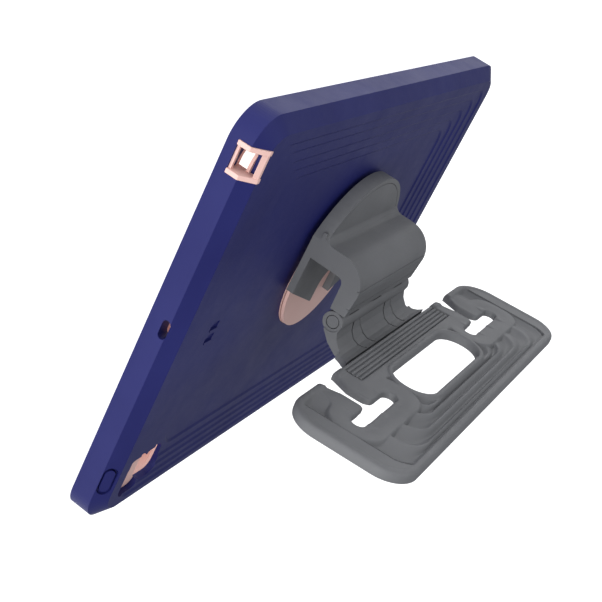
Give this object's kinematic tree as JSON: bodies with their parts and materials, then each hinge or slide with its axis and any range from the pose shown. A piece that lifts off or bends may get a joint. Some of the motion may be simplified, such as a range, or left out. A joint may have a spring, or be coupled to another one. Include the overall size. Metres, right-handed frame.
{
  "type": "tablet case",
  "caption": "Rugged tablet case with a bevelled cover, a turntable finger hook and a folding, slotted stand plate hinged to the hook.",
  "frame": {"origin": "centre of the screen-side face, which the case lies on", "axes": "+X along the long side, to the right as seen from the back; +Y along the short side, towards the upper edge; +Z out of the back"},
  "size_m": [0.2704, 0.204, 0.1189],
  "materials": {
    "cover": "satin",
    "liner": "satin",
    "grey": "satin",
    "lining": "soft",
    "nylon": "smooth",
    "steel": "brushed"
  },
  "bodies": {
    "case": {"outer_cover": "cover", "inner_shell": "liner", "front_frame": "cover", "lining_pads": "lining", "jack_surround": "liner", "camera_surround": "liner", "button_domes": "liner", "friction_washer": "nylon"},
    "swivel": {"turntable_disc": "liner", "retaining_ring": "steel", "swivel_screws": "steel", "swivel_base": "grey", "hook_cover": "grey", "hook_lower_cover": "grey", "hook_trim": "grey", "hinge_pin": "steel"},
    "stand": {"stand_core": "grey", "stand_skin": "grey", "stand_ribs": "grey", "hinge_bushes": "nylon", "pin_caps": "grey"},
    "power_key": {"power_button": "cover"},
    "volume_up_key": {"volume_up_button": "cover"},
    "volume_down_key": {"volume_down_button": "cover"}
  },
  "joints": [
    {"name": "swivel_turn", "type": "hinge", "parent": "case", "child": "swivel", "pos_m": [0.006, 0, 0.0136], "axis": [0, 0, 1], "continuous": true},
    {"name": "stand_fold", "type": "hinge", "parent": "swivel", "child": "stand", "pos_m": [0.006, -0.0015, 0.0415], "axis": [1, 0, 0], "range_deg": [0, 96]},
    {"name": "press_power", "type": "slide", "parent": "case", "child": "power_key", "axis": [0.6097, 0, -0.7926], "range_m": [0, 0.0008], "stiffness_N_per_m": 2000, "springref_m": -0.0005},
    {"name": "press_volume_up", "type": "slide", "parent": "case", "child": "volume_up_key", "axis": [0, 0.6097, -0.7926], "range_m": [0, 0.0008], "stiffness_N_per_m": 2000, "springref_m": -0.0005},
    {"name": "press_volume_down", "type": "slide", "parent": "case", "child": "volume_down_key", "axis": [0, 0.6097, -0.7926], "range_m": [0, 0.0008], "stiffness_N_per_m": 2000, "springref_m": -0.0005}
  ]
}
